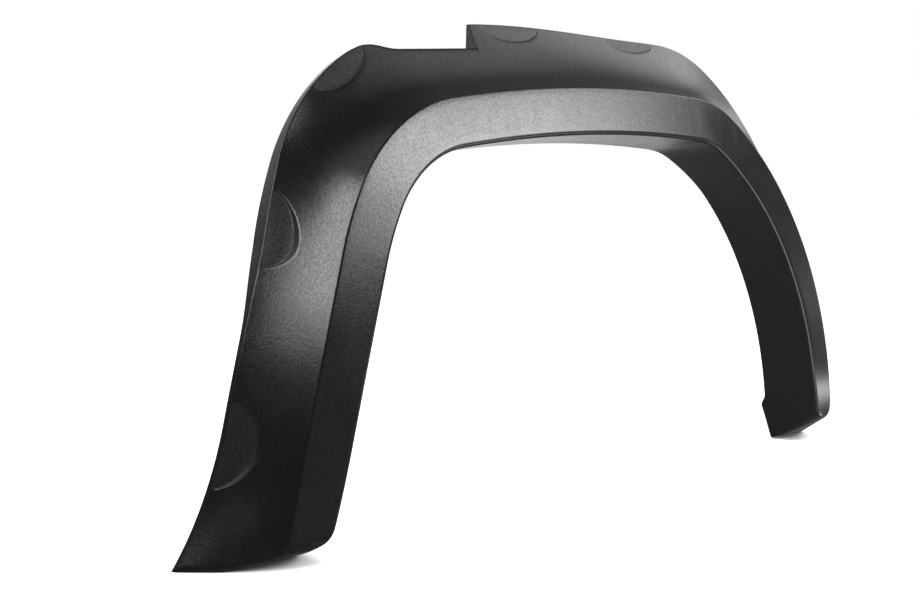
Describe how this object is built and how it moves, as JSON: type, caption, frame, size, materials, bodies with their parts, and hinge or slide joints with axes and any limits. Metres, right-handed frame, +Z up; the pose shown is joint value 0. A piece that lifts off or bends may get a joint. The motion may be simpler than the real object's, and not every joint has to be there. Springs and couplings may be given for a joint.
{
  "type": "wheel arch trim",
  "caption": "Moulded black plastic wheel arch trim: a flat band round the wheel opening, a hollow flank behind it, bolt pockets in the outer rim and a step in the top edge.",
  "frame": {"origin": "on the body panel plane, on the floor line, in the middle of the wheel opening", "axes": "+X along the vehicle from the near leg to the far leg, +Y into the body panel, +Z up"},
  "size_m": [1.015, 0.0859, 0.5115],
  "materials": {
    "black_plastic": "fine-grained satin black"
  },
  "bodies": {
    "root": {"wheel_arch_trim": "black_plastic"}
  },
  "joints": []
}
